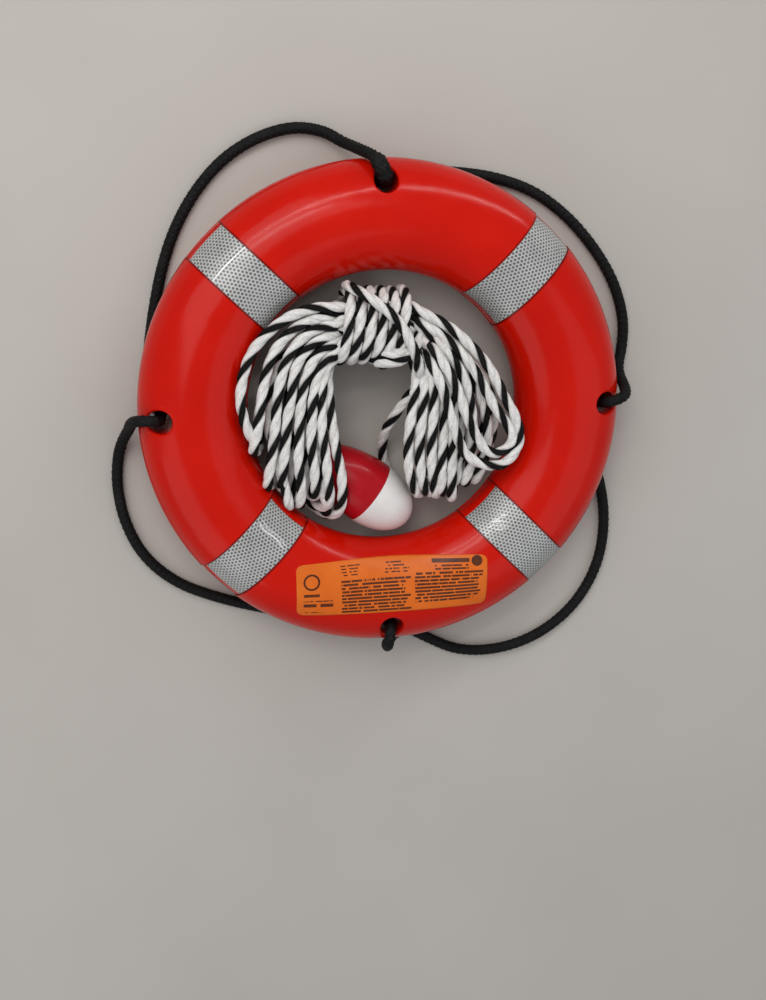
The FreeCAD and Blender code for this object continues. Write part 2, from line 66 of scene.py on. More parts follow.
# ------------------------------------------------------- node-tree helpers
class Tree:
    """Short names for building a material's node tree."""

    def __init__(self, name):
        self.mat = bpy.data.materials.new(name)
        self.mat.use_nodes = True
        self.t = self.mat.node_tree
        self.t.nodes.clear()
        self.out = self.t.nodes.new("ShaderNodeOutputMaterial")
        self.bsdf = self.t.nodes.new("ShaderNodeBsdfPrincipled")
        self.t.links.new(self.bsdf.outputs[0], self.out.inputs[0])

    def new(self, kind, **props):
        n = self.t.nodes.new(kind)
        for k, v in props.items():
            setattr(n, k, v)
        return n

    def link(self, a, b):
        self.t.links.new(a, b)

    def put(self, socket, value):
        if isinstance(value, bpy.types.NodeSocket):
            self.link(value, socket)
        else:
            socket.default_value = value

    def set(self, name, value):
        self.put(self.bsdf.inputs[name], value)

    def math(self, op, a, b=0.0, c=0.0, clamp=False):
        n = self.new("ShaderNodeMath", operation=op, use_clamp=clamp)
        self.put(n.inputs[0], a)
        self.put(n.inputs[1], b)
        if len(n.inputs) > 2:
            self.put(n.inputs[2], c)
        return n.outputs[0]

    def object_coords(self):
        return self.new("ShaderNodeTexCoord").outputs["Object"]

    def uv(self):
        return self.new("ShaderNodeUVMap", uv_map="UVMap").outputs[0]

    def split(self, vec):
        n = self.new("ShaderNodeSeparateXYZ")
        self.link(vec, n.inputs[0])
        return n.outputs

    def join(self, x, y, z=0.0):
        n = self.new("ShaderNodeCombineXYZ")
        for i, v in enumerate((x, y, z)):
            self.put(n.inputs[i], v)
        return n.outputs[0]

    def scale(self, vec, s):
        n = self.new("ShaderNodeVectorMath", operation="MULTIPLY")
        self.link(vec, n.inputs[0])
        n.inputs[1].default_value = s
        return n.outputs[0]

    def noise(self, vec, scale, detail=3.0, rough=0.55, distort=0.0, out="Fac"):
        n = self.new("ShaderNodeTexNoise")
        self.link(vec, n.inputs["Vector"])
        n.inputs["Scale"].default_value = scale
        n.inputs["Detail"].default_value = detail
        n.inputs["Roughness"].default_value = rough
        n.inputs["Distortion"].default_value = distort
        return n.outputs[0] if out == "Fac" else n.outputs[1]

    def ramp(self, fac, stops, interp="LINEAR"):
        n = self.new("ShaderNodeValToRGB")
        n.color_ramp.interpolation = interp
        el = n.color_ramp.elements
        while len(el) < len(stops):
            el.new(0.5)
        for e, (pos, col) in zip(el, stops):
            e.position = pos
            e.color = (*col, 1.0) if len(col) == 3 else col
        self.link(fac, n.inputs[0])
        return n.outputs[0]

    def level(self, fac, a, b, lo=0.0, hi=1.0):
        n = self.new("ShaderNodeMapRange", clamp=True)
        self.put(n.inputs[0], fac)
        for i, v in enumerate((a, b, lo, hi), start=1):
            n.inputs[i].default_value = v
        return n.outputs[0]

    def mix(self, fac, a, b):
        n = self.new("ShaderNodeMix", data_type="RGBA")
        self.put(n.inputs[0], fac)
        for sock, v in ((n.inputs[6], a), (n.inputs[7], b)):
            if isinstance(v, bpy.types.NodeSocket):
                self.link(v, sock)
            else:
                sock.default_value = (*v, 1.0) if len(v) == 3 else v
        return n.outputs[2]

    def bump(self, height, strength, distance, normal=None):
        n = self.new("ShaderNodeBump")
        n.inputs["Strength"].default_value = strength
        n.inputs["Distance"].default_value = distance
        self.link(height, n.inputs["Height"])
        if normal is not None:
            self.link(normal, n.inputs["Normal"])
        return n.outputs[0]


def dress(node, mat):
    """Gives a carried-over CAD node this material in all its slots."""
    ob = nodes[node]
    if not ob.material_slots:
        ob.data.materials.append(mat)
    for s in ob.material_slots:
        s.link = "OBJECT"
        s.material = mat


# ---------------------------------------------------------- mesh helpers
def mesh_object(name, verts, faces, mats, uvs=None, mat_index=None, smooth=True):
    me = bpy.data.meshes.new(name)
    me.from_pydata([tuple(v) for v in verts], [], [tuple(f) for f in faces])
    for m in mats:
        me.materials.append(m)
    if mat_index is not None:
        me.polygons.foreach_set("material_index", np.asarray(mat_index, dtype=np.int32))
    me.polygons.foreach_set("use_smooth", np.full(len(me.polygons), smooth))
    if uvs is not None:
        layer = me.uv_layers.new(name="UVMap")
        loop_vert = np.empty(len(me.loops), dtype=np.int32)
        me.loops.foreach_get("vertex_index", loop_vert)
        flat = np.asarray(uvs, dtype=np.float32)
        if len(flat) == len(verts):
            flat = flat[loop_vert]
        layer.data.foreach_set("uv", flat.ravel())
    me.update()
    ob = bpy.data.objects.new(name, me)
    coll.objects.link(ob)
    return ob


def spline_line(name, pts, res=12):
    """A NURBS spline with these control points; returns the points it runs through."""
    cu = bpy.data.curves.new(name, "CURVE")
    cu.dimensions = "3D"
    sp = cu.splines.new("NURBS")
    sp.points.add(len(pts) - 1)
    for q, p in zip(sp.points, pts):
        q.co = (p[0], p[1], p[2], 1.0)
    sp.order_u = 3
    sp.use_endpoint_u = True
    sp.resolution_u = res
    ob = bpy.data.objects.new(name, cu)
    coll.objects.link(ob)
    bpy.context.view_layer.update()
    me = bpy.data.meshes.new_from_object(ob)
    out = np.array([v.co[:] for v in me.vertices])
    bpy.data.objects.remove(ob)
    bpy.data.curves.remove(cu)
    bpy.data.meshes.remove(me)
    return out


def even(points, step):
    d = np.linalg.norm(np.diff(points, axis=0), axis=1)
    keep = np.r_[True, d > 1e-7]
    points = points[keep]
    s = np.r_[0, np.cumsum(np.linalg.norm(np.diff(points, axis=0), axis=1))]
    n = max(2, int(round(s[-1] / step)) + 1)
    t = np.linspace(0, s[-1], n)
    return np.stack([np.interp(t, s, points[:, k]) for k in range(3)], 1), t


def frames(points):
    """Tangents and a normal carried along without twisting."""
    T = np.gradient(points, axis=0)
    T /= np.linalg.norm(T, axis=1)[:, None]
    N = np.zeros_like(T)
    ref = np.array([0.0, 0.0, 1.0])
    if abs(T[0] @ ref) > 0.9:
        ref = np.array([1.0, 0.0, 0.0])
    n = ref - T[0] * (ref @ T[0])
    N[0] = n / np.linalg.norm(n)
    for i in range(1, len(T)):
        n = N[i - 1] - T[i] * (N[i - 1] @ T[i])
        N[i] = n / np.linalg.norm(n)
    B = np.cross(T, N)
    return T, N, B


def tube_rings(centre, e1, e2, radius, seg, phase=0.0):
    a = np.linspace(0, 2 * math.pi, seg, endpoint=False) + phase
    ca, sa = np.cos(a), np.sin(a)
    r = np.asarray(radius)
    if r.ndim == 0:
        r = np.full((len(centre), seg), float(r))
    elif r.ndim == 1:
        r = np.repeat(r[:, None], seg, 1)
    return centre[:, None] + (e1[:, None] * ca[None, :, None] + e2[:, None] * sa[None, :, None]) * r[..., None]


def skin(rings, base, closed_ends=True):
    n, seg = rings.shape[:2]
    idx = base + np.arange(n * seg).reshape(n, seg)
    a, b = idx[:-1], idx[1:]
    faces = np.stack([a, np.roll(a, -1, 1), np.roll(b, -1, 1), b], -1).reshape(-1, 4).tolist()
    if closed_ends:
        faces.append(list(idx[0][::-1]))
        faces.append(list(idx[-1]))
    return rings.reshape(-1, 3), faces


# ------------------------------------------------------------- materials
def make_shell():
    t = Tree("shell_plastic_looks")
    oc = t.object_coords()
    blotch = t.noise(oc, 9.0, 4.0, 0.6)
    fine = t.noise(oc, 160.0, 3.0, 0.6)
    base = t.ramp(blotch, [(0.25, (0.490, 0.0046, 0.0003)), (0.55, (0.540, 0.0058, 0.0005)), (0.8, (0.585, 0.0080, 0.0010))])
    scuff_a = t.noise(t.scale(oc, (1.0, 7.0, 1.0)), 55.0, 5.0, 0.7, 0.6)
    scuff = t.level(scuff_a, 0.66, 0.74)
    col = t.mix(t.math("MULTIPLY", scuff, 0.07), base, (0.72, 0.12, 0.07))
    # painted shade: the shell is darkened in the narrow gaps along both sides of each tape's recess, where the recess
    # falls in shadow
    x, y, _ = t.split(oc)
    recess_gap_shade = None
    for deg in (45.2, 135.6, 224.2, 314.2):
        c, d = math.cos(math.radians(deg)), math.sin(math.radians(deg))
        across = t.math("SUBTRACT", t.math("MULTIPLY", y, c), t.math("MULTIPLY", x, d))
        out = t.math("ADD", t.math("MULTIPLY", x, c), t.math("MULTIPLY", y, d))
        off = t.math("ABSOLUTE", t.math("SUBTRACT", t.math("ABSOLUTE", across), 0.0242))
        m = t.math("MULTIPLY", t.level(off, 0.0006, 0.0015, 1.0, 0.0), t.math("GREATER_THAN", out, 0.10))
        recess_gap_shade = m if recess_gap_shade is None else t.math("MAXIMUM", recess_gap_shade, m)
    col = t.mix(t.math("MULTIPLY", recess_gap_shade, 0.72), col, (0.130, 0.0020, 0.0006))
    t.set("Base Color", col)
    rough = t.level(t.noise(oc, 22.0, 4.0, 0.6), 0.3, 0.75, 0.15, 0.23)
    t.set("Roughness", t.math("ADD", rough, t.math("MULTIPLY", scuff, 0.16)))
    t.bsdf.inputs["IOR"].default_value = 1.5
    t.bsdf.inputs["Specular IOR Level"].default_value = 0.19
    peel = t.math("ADD", t.math("MULTIPLY", t.noise(oc, 70.0, 2.0), 0.7), t.math("MULTIPLY", fine, 0.3))
    t.set("Normal", t.bump(peel, 0.20, 0.0012))
    return t.mat


def make_strand(name, dark):
    """Polypropylene fibre bundle: slanting yarns, fuzz, soil, and painted shade in the grooves."""
    t = Tree(name)
    u, v, _ = t.split(t.uv())         # u counts strands round the rope, v is centimetres along it
    slant = t.math("ADD", t.math("MULTIPLY", u, 0.67), t.math("MULTIPLY", v, 0.22))
    yarn = t.noise(t.join(slant, t.math("MULTIPLY", v, 0.05)), 17.0, 3.0, 0.6)
    fibre = t.noise(t.join(slant, t.math("MULTIPLY", v, 0.03)), 60.0, 2.0, 0.6)
    oc = t.object_coords()
    soil = t.noise(oc, 38.0, 5.0, 0.65)
    speck_and_sheen = t.noise(oc, 520.0, 2.0, 0.6)
    side = t.math("ABSOLUTE", t.math("SUBTRACT", t.math("FRACT", u), 0.5))
    # painted shade: the edges of each strand are darkened where the grooves between strands fall in shadow
    groove_shade = t.level(side, 0.30, 0.49)
    if dark:
        base = t.ramp(yarn, [(0.30, (0.0020, 0.0020, 0.0022)), (0.60, (0.0060, 0.0060, 0.0062)), (0.80, (0.024, 0.023, 0.022))])
        col = t.mix(t.level(soil, 0.60, 0.80, 0.0, 0.16), base, (0.07, 0.066, 0.062))
        # painted sheen: light grey speckles on the black strand
        col = t.mix(t.level(speck_and_sheen, 0.56, 0.72, 0.0, 0.45), col, (0.075, 0.072, 0.068))
        # painted shade in the grooves of the black strand
        col = t.mix(t.math("MULTIPLY", groove_shade, 0.7), col, (0.002, 0.002, 0.002))
    else:
        # the two white strands lie close, so the painted groove shade is weak in the valley between them
        between = t.level(t.math("ABSOLUTE", t.math("SUBTRACT", u, 2.0)), 0.15, 0.55, 0.22, 1.0)
        base = t.ramp(yarn, [(0.24, (0.58, 0.55, 0.52)), (0.40, (0.88, 0.86, 0.83)), (0.56, (0.98, 0.97, 0.95))])
        col = t.mix(t.level(fibre, 0.30, 0.50, 0.55, 0.0), base, (0.36, 0.33, 0.305))
        crumple = t.noise(t.join(t.math("MULTIPLY", slant, 2.2), t.math("MULTIPLY", v, 1.1)), 4.0, 4.0, 0.7, 0.8)
        col = t.mix(t.level(crumple, 0.50, 0.66, 0.0, 0.30), col, (0.40, 0.365, 0.335))
        col = t.mix(t.level(soil, 0.54, 0.76, 0.0, 0.34), col, (0.46, 0.41, 0.37))
        col = t.mix(t.level(speck_and_sheen, 0.60, 0.74, 0.0, 0.30), col, (0.30, 0.275, 0.26))
        # painted reflection: pinkish patches of reflected red light on the white strands
        painted_pink_reflection = t.noise(oc, 17.0, 2.0, 0.5)
        col = t.mix(t.level(painted_pink_reflection, 0.62, 0.74, 0.0, 0.22), col, (0.74, 0.42, 0.38))
        # painted shade in the grooves between strands
        col = t.mix(t.math("MULTIPLY", t.math("MULTIPLY", groove_shade, between), 0.66), col, (0.10, 0.088, 0.080))
    t.set("Base Color", col)
    t.bsdf.inputs["Roughness"].default_value = 0.60
    t.bsdf.inputs["Sheen Weight"].default_value = 0.0 if dark else 0.10
    t.bsdf.inputs["Sheen Roughness"].default_value = 0.45
    t.bsdf.inputs["Specular IOR Level"].default_value = 0.12 if dark else 0.25
    t.set("Normal", t.bump(t.math("ADD", t.math("MULTIPLY", yarn, 0.7), t.math("MULTIPLY", fibre, 0.3)), 1.0, 0.0022))
    return t.mat


def make_braid():
    t = Tree("grab_braid_looks")
    uv = t.uv()
    u, v, _ = t.split(uv)
    fibre = t.noise(t.join(t.math("MULTIPLY", u, 6.0), t.math("MULTIPLY", v, 0.5)), 9.0, 3.0, 0.6)
    oc = t.object_coords()
    worn = t.noise(oc, 60.0, 4.0, 0.65)
    base = t.ramp(fibre, [(0.3, (0.0015, 0.0015, 0.0016)), (0.7, (0.0070, 0.0070, 0.0072))])
    col = t.mix(t.level(worn, 0.5, 0.78, 0.0, 0.35), base, (0.022, 0.0205, 0.019))
    t.set("Base Color", col)
    t.bsdf.inputs["Roughness"].default_value = 0.48
    t.bsdf.inputs["Specular IOR Level"].default_value = 0.16
    t.set("Normal", t.bump(fibre, 0.6, 0.0007))
    return t.mat


def make_tape():
    """Silver retroreflective tape: staggered dark cells on grey, under a clear film."""
    t = Tree("reflective_tape_looks")
    uv = t.uv()                       # millimetres / 10 across and along the tape
    u, v, _ = t.split(uv)
    pitch = 0.40
    best = None
    for shift in (0.0, 0.5):
        fu = t.math("SUBTRACT", t.math("FRACT", t.math("ADD", t.math("DIVIDE", u, pitch), shift + 40.0)), 0.5)
        fv = t.math("SUBTRACT", t.math("FRACT", t.math("ADD", t.math("DIVIDE", v, pitch * 1.732), shift + 40.0)), 0.5)
        fv = t.math("MULTIPLY", fv, 1.732)
        d = t.math("SQRT", t.math("ADD", t.math("MULTIPLY", fu, fu), t.math("MULTIPLY", fv, fv)))
        best = d if best is None else t.math("MINIMUM", best, d)
    best = t.math("ADD", best, t.math("MULTIPLY", t.math("SUBTRACT", t.noise(t.object_coords(), 420.0, 2.0), 0.5), 0.10))
    cell = t.level(best, 0.28, 0.42, 1.0, 0.0)
    oc = t.object_coords()
    tone = t.noise(oc, 26.0, 4.0, 0.6)
    grey = t.ramp(tone, [(0.25, (0.40, 0.402, 0.395)), (0.75, (0.55, 0.552, 0.54))])
    wear = t.noise(oc, 75.0, 4.0, 0.7)
    dark = t.mix(t.level(wear, 0.45, 0.75), (0.045, 0.046, 0.046), (0.11, 0.11, 0.105))
    col = t.mix(t.math("MULTIPLY", cell, 0.86), grey, dark)
    # painted highlight: folds in the film are painted as bright lines
    fold_highlight = t.new("ShaderNodeAttribute", attribute_name="fold_highlight").outputs["Fac"]
    col = t.mix(t.level(fold_highlight, 0.25, 0.85, 0.0, 0.92), col, (0.93, 0.94, 0.95))
    t.set("Base Color", col)
    t.bsdf.inputs["Metallic"].default_value = 0.10
    t.set("Roughness", t.level(tone, 0.3, 0.7, 0.26, 0.40))
    t.bsdf.inputs["Coat Weight"].default_value = 0.20
    t.bsdf.inputs["Coat Roughness"].default_value = 0.14
    t.set("Normal", t.bump(t.math("ADD", t.math("MULTIPLY", cell, 0.15), t.noise(oc, 90.0, 3.0, 0.6)), 0.18, 0.0008))
    return t.mat


def make_label():
    """Orange vinyl with generic bars where print would be, and a plain ring mark."""
    t = Tree("label_vinyl_looks")
    uv = t.uv()                       # tens of millimetres, origin at the label's centre
    u, v, _ = t.split(uv)
    oc = t.object_coords()
    tone = t.noise(oc, 30.0, 4.0, 0.6)
    base = t.ramp(tone, [(0.25, (0.61, 0.112, 0.007)), (0.75, (0.72, 0.152, 0.012))])

    def inside(x0, x1, y0, y1):
        a = t.math("MULTIPLY", t.math("GREATER_THAN", u, x0), t.math("LESS_THAN", u, x1))
        b = t.math("MULTIPLY", t.math("GREATER_THAN", v, y0), t.math("LESS_THAN", v, y1))
        return t.math("MULTIPLY", a, b)

    def rows(x0, x1, top, count, pitch, thick, seed, ragged, word=2.6, share=0.42):
        """Rows of word-like bars, ragged at the right."""
        pos = t.math("DIVIDE", t.math("SUBTRACT", top, v), pitch)
        num = t.math("FLOOR", pos)
        frac = t.math("FRACT", pos)
        line = t.math("LESS_THAN", t.math("ABSOLUTE", t.math("SUBTRACT", frac, 0.5)), thick / 2)
        n = t.new("ShaderNodeTexNoise")
        n.noise_dimensions = "2D"
        t.link(t.join(t.math("MULTIPLY", u, word), t.math("MULTIPLY", t.math("ADD", num, seed), 7.13)), n.inputs["Vector"])
        n.inputs["Scale"].default_value = 1.0
        n.inputs["Detail"].default_value = 1.0
        words = t.math("GREATER_THAN", n.outputs[0], share)
        e = t.new("ShaderNodeTexWhiteNoise")
        e.noise_dimensions = "1D"
        t.link(t.math("ADD", num, seed + 0.5), e.inputs["W"])
        right = t.math("SUBTRACT", x1, t.math("MULTIPLY", e.outputs[0], ragged))
        m = t.math("MULTIPLY", t.math("GREATER_THAN", u, x0), t.math("LESS_THAN", u, right))
        m = t.math("MULTIPLY", m, t.math("MULTIPLY", t.math("GREATER_THAN", pos, 0.0), t.math("LESS_THAN", pos, float(count))))
        return t.math("MULTIPLY", t.math("MULTIPLY", m, line), words)

    marks = [rows(-5.45, 2.05, 0.95, 10, 0.365, 0.62, 3.0, 1.0, 3.0, 0.34),
             rows(2.35, 9.75, 1.25, 9, 0.365, 0.62, 19.0, 1.2, 3.0, 0.34),
             rows(-5.45, -2.75, 2.45, 4, 0.30, 0.42, 31.0, 0.9, 2.4, 0.44),
             rows(-0.75, 2.1, 2.45, 4, 0.30, 0.46, 43.0, 0.9, 2.4, 0.44),
             rows(4.6, 8.2, 1.95, 2, 0.32, 0.58, 57.0, 0.2, 2.2, 0.40),
             rows(-9.45, -6.3, -1.0, 1, 0.30, 0.44, 61.0, 0.2, 3.2, 0.42),
             rows(-9.45, -7.3, -2.35, 1, 0.26, 0.40, 67.0, 0.1, 3.2, 0.42),
             rows(-9.45, -6.35, -1.38, 1, 0.52, 0.72, 71.0, 0.0, 1.7, 0.36),
             rows(-9.40, -7.75, -0.28, 1, 0.44, 0.72, 79.0, 0.0, 2.4, 0.30),
             inside(4.3, 8.25, 2.08, 2.50)]

    def disc(cx, cy, lo, hi):
        du, dv = t.math("SUBTRACT", u, cx), t.math("SUBTRACT", v, cy)
        r = t.math("SQRT", t.math("ADD", t.math("MULTIPLY", du, du), t.math("MULTIPLY", dv, dv)))
        return t.math("MULTIPLY", t.math("GREATER_THAN", r, lo), t.math("LESS_THAN", r, hi))

    marks += [disc(-8.55, 0.95, 0.66, 0.88), disc(9.05, 2.22, -1.0, 0.58)]
    mark = marks[0]
    for m in marks[1:]:
        mark = t.math("MAXIMUM", mark, m)
    faded = t.level(t.noise(oc, 120.0, 3.0, 0.6), 0.2, 0.8, 0.80, 0.98)
    col = t.mix(t.math("MULTIPLY", mark, faded), base, (0.016, 0.007, 0.006))
    t.set("Base Color", col)
    t.set("Roughness", t.level(tone, 0.3, 0.7, 0.30, 0.42))
    t.bsdf.inputs["Specular IOR Level"].default_value = 0.25
    t.set("Normal", t.bump(t.noise(oc, 55.0, 3.0, 0.6), 0.12, 0.001))
    return t.mat


def make_plain(name, lo, hi, rough, coat=0.0, scale=40.0, bump=0.15, spots=None, spec=0.5):
    t = Tree(name)
    oc = t.object_coords()
    tone = t.noise(oc, scale, 4.0, 0.6)
    col = t.ramp(tone, [(0.25, lo), (0.75, hi)])
    if spots:
        col = t.mix(t.level(t.noise(oc, scale * 7, 4.0, 0.7), 0.62, 0.74, 0.0, spots[0]), col, spots[1])
    t.set("Base Color", col)
    t.set("Roughness", t.level(t.noise(oc, scale * 0.6, 3.0), 0.3, 0.7, rough[0], rough[1]))
    t.bsdf.inputs["Specular IOR Level"].default_value = spec
    t.bsdf.inputs["Coat Weight"].default_value = coat
    t.bsdf.inputs["Coat Roughness"].default_value = 0.12
    t.set("Normal", t.bump(t.noise(oc, scale * 4, 3.0), bump, 0.0008))
    return t.mat


shell_mat = make_shell()
white_strand = make_strand("throw_rope_white_looks", False)
black_strand = make_strand("throw_rope_black_looks", True)
braid_mat = make_braid()
tape_mat = make_tape()
label_mat = make_label()
foam_mat = make_plain("core_foam_looks", (0.62, 0.52, 0.32), (0.72, 0.63, 0.42), (0.75, 0.9), 0.0, 60.0, 0.6)
plug_mat = make_plain("plug_plastic_looks", (0.42, 0.010, 0.006), (0.50, 0.014, 0.008), (0.38, 0.5), 0.0, 60.0, 0.25)
float_red_mat = make_plain("float_red_looks", (0.34, 0.004, 0.009), (0.43, 0.007, 0.014), (0.20, 0.30), 0.05, 28.0, 0.08,
                           (0.30, (0.50, 0.08, 0.09)), 0.17)
float_white_mat = make_plain("float_white_looks", (0.66, 0.63, 0.61), (0.78, 0.755, 0.74), (0.30, 0.42), 0.2, 24.0, 0.08,
                             (0.22, (0.55, 0.47, 0.44)), 0.3)
liner_mat = make_plain("liner_plastic_looks", (0.6, 0.6, 0.57), (0.7, 0.7, 0.66), (0.4, 0.5))
dress("outer_shell", shell_mat)
dress("foam_core", foam_mat)
dress("fill_plug", plug_mat)
dress("vent_plug", plug_mat)
dress("float_red_half", float_red_mat)
dress("float_white_half", float_white_mat)
dress("float_end_cap", float_white_mat)
dress("float_liner", liner_mat)

# -------------------------------------------------------------- grab line
def on_ring(deg, r, z):
    a = math.radians(deg)
    return mm(r * math.cos(a), r * math.sin(a), z)


RIM_TURN = {90: (1.0, 2.5, 4.2, 5.6, 266.0), 180: (-0.6, -0.5, 0.9, 3.0, 263.5),
            270: (-0.6, -0.9, -0.4, 1.0, 263.5), 360: (0.8, 1.8, 3.1, 4.5, 263.5)}


def over_rim(deg, lift):
    a, b, c, d, r = RIM_TURN[deg]
    return [on_ring(deg, 231.2, 56), on_ring(deg, 231.5, 76 + lift),
            on_ring(deg + a, 243.0, 83.2 + lift), on_ring(deg + b, 255.0, 78.0 + lift * 0.7),
            on_ring(deg + c, 260.6, 55), on_ring(deg + d, r, 34)]


def into_hole(deg):
    return [on_ring(deg - 15.5, 247.8, 6.2), on_ring(deg - 8.0, 245.6, 6.2),
            on_ring(deg - 2.4, 243.0, 6.2), on_ring(deg - 0.2, 235.0, 9),
            on_ring(deg, 228.5, 21), on_ring(deg, 231.0, 39)]


ARC_1 = [(97.2, 271.5, 15), (100.4, 285.5, 6.2), (106.2, 297.0, 6.2), (113.6, 300.2, 6.2),
         (121.6, 297.8, 6.2), (130.0, 288.8, 6.2), (138.6, 277.3, 6.2), (147.0, 265.0, 6.2),
         (155.6, 254.5, 6.2)]
ARC_2 = [(185.6, 271.5, 15), (189.6, 281.5, 6.2), (196.0, 292.0, 6.2), (203.8, 300.0, 6.2),
         (212.0, 302.5, 6.2), (220.6, 294.0, 6.2), (229.4, 277.0, 6.2), (238.0, 263.5, 6.2),
         (246.6, 254.0, 6.2)]
ARC_3 = [(273.4, 262.5, 15.5), (276.8, 262.5, 6.6), (280.6, 277.5, 6.2), (286.8, 305.5, 6.2), (294.8, 325.0, 6.2),
         (303.4, 335.8, 6.2), (312.4, 336.0, 6.2), (321.4, 324.0, 6.2), (330.0, 301.0, 6.2),
         (338.2, 273.0, 6.2)]
ARC_4 = [(366.4, 268.5, 15), (370.0, 278.5, 6.2), (376.4, 286.8, 6.2), (385.0, 289.0, 6.2),
         (394.0, 286.0, 6.2), (403.0, 282.5, 6.2), (412.0, 276.8, 6.2), (421.0, 265.5, 6.2),
         (429.0, 254.5, 6.2)]
grab_points = [on_ring(90, 231.25, 62)] + over_rim(90, 2.2)[1:]
for arcs, nxt in ((ARC_1, 180), (ARC_2, 270), (ARC_3, 360), (ARC_4, 450)):
    grab_points += [on_ring(*p) for p in arcs]
    grab_points += into_hole(nxt)
    if nxt < 450:
        grab_points += over_rim(nxt, 0.0)
grab_points += [on_ring(450, 231.1, 60.4)]


def braid_tube(name, line, radius, step=0.0013, seg=32, pitch=0.054, carriers=8, depth=0.20, taper=0.0):
    """A braided cord: strands of both hands over and under each other, in relief."""
    P, s = even(line, step)
    T, N, B = frames(P)
    a = np.linspace(0, 2 * math.pi, seg, endpoint=False)
    A, S = np.meshgrid(a, s)
    w1 = carriers / 2 * (A + 2 * math.pi * S / pitch)
    w2 = carriers / 2 * (A - 2 * math.pi * S / pitch)
    s1, s2 = np.abs(np.cos(w1)), np.abs(np.cos(w2))
    over = np.sin(w1 + w2) > 0
    relief = np.where(over, s1 * (0.65 + 0.35 * s2), s2 * (0.65 + 0.35 * s1))
    # hand-braided look: the strands do not lie quite evenly
    uneven = 1.0 + 0.018 * np.sin(S * 830.0 + 2.0 * A) + 0.014 * np.sin(S * 1370.0 - 3.0 * A + 1.0)
    r = radius * (1 - depth + depth * 1.6 * relief) * uneven
    if taper:
        edge = np.clip(np.minimum(s, s[-1] - s) / taper, 0, 1)
        r = r * (0.76 + 0.24 * np.sqrt(edge))[:, None]
    rings = tube_rings(P, N, B, r, seg)
    verts, faces = skin(rings, 0)
    uv = np.stack([A / (2 * math.pi) * 3.4, S * 100], -1).reshape(-1, 2)
    return mesh_object(name, verts, faces, [braid_mat], uv), P


grab_line_run = spline_line("grab_line_route", grab_points, 10)
grab_ob, grab_path = braid_tube("grab_line_braid", grab_line_run, 0.0055)
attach(grab_ob, "ring")
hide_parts("grab_line")
grab_len = float(np.linalg.norm(np.diff(grab_path, axis=0), axis=1).sum())
print("grab line length", grab_len)

# splice sleeve: the buried tails make the rope thicker here
run_a, sa = even(grab_line_run, 0.001)
head = run_a[: int(0.043 / 0.001)]
tailp = run_a[-int(0.011 / 0.001):]
sleeve_line = np.vstack([tailp, head])
splice_ob, _ = braid_tube("grab_line_splice_braid", sleeve_line, 0.0078, 0.0012, 36, 0.054, 8, 0.18, 0.006)
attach(splice_ob, "ring")
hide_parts("grab_line_splice")

# ------------------------------------------------------------- throw line
rng = random.Random(7)

# The hank has ten turns. Each turn runs through the wraps, out along the left
# limb on top, round its bight, back below, through the wraps again, and then
# the same on the right. Turn 0 is the outermost and the last one laid.
SLOT_Y = [109, 104, 98, 93, 87, 82, 76, 71, 65, 61]
SLOT_Z = [74, 60, 75, 61, 75, 61, 75, 60, 73, 58]

